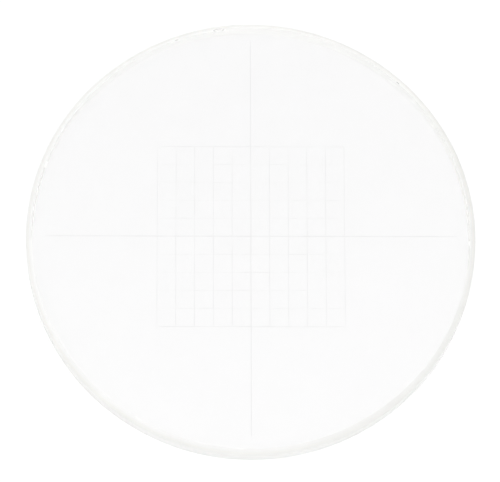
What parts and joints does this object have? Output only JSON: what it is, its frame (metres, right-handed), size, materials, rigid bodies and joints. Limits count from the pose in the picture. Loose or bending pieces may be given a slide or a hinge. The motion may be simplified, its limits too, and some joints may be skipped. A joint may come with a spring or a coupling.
{
  "type": "eyepiece counting graticule",
  "caption": "Round bevelled glass disc with a square net of fine lines and long crosslines sealed under a thin cover, for counting cells through an eyepiece.",
  "frame": {"origin": "centre of the lower polished face", "axes": "+Z along the disc's axis, out of the upper face over the cover disc; +Y along the net's columns and the upright crossline; +X along the net's rows"},
  "size_m": [0.024, 0.024, 0.0015],
  "materials": {
    "disc_glass": "polished faces, fine-ground rim and bevels",
    "optical_cement": "clear cured layer",
    "line_film": "bright thin film"
  },
  "bodies": {
    "root": {"base_disc": "disc_glass", "cement_layer": "optical_cement", "cover_disc": "disc_glass", "crossline_vertical": "line_film", "crossline_horizontal": "line_film", "net_border": "line_film", "net_columns": "line_film", "net_rows": "line_film"}
  },
  "joints": []
}
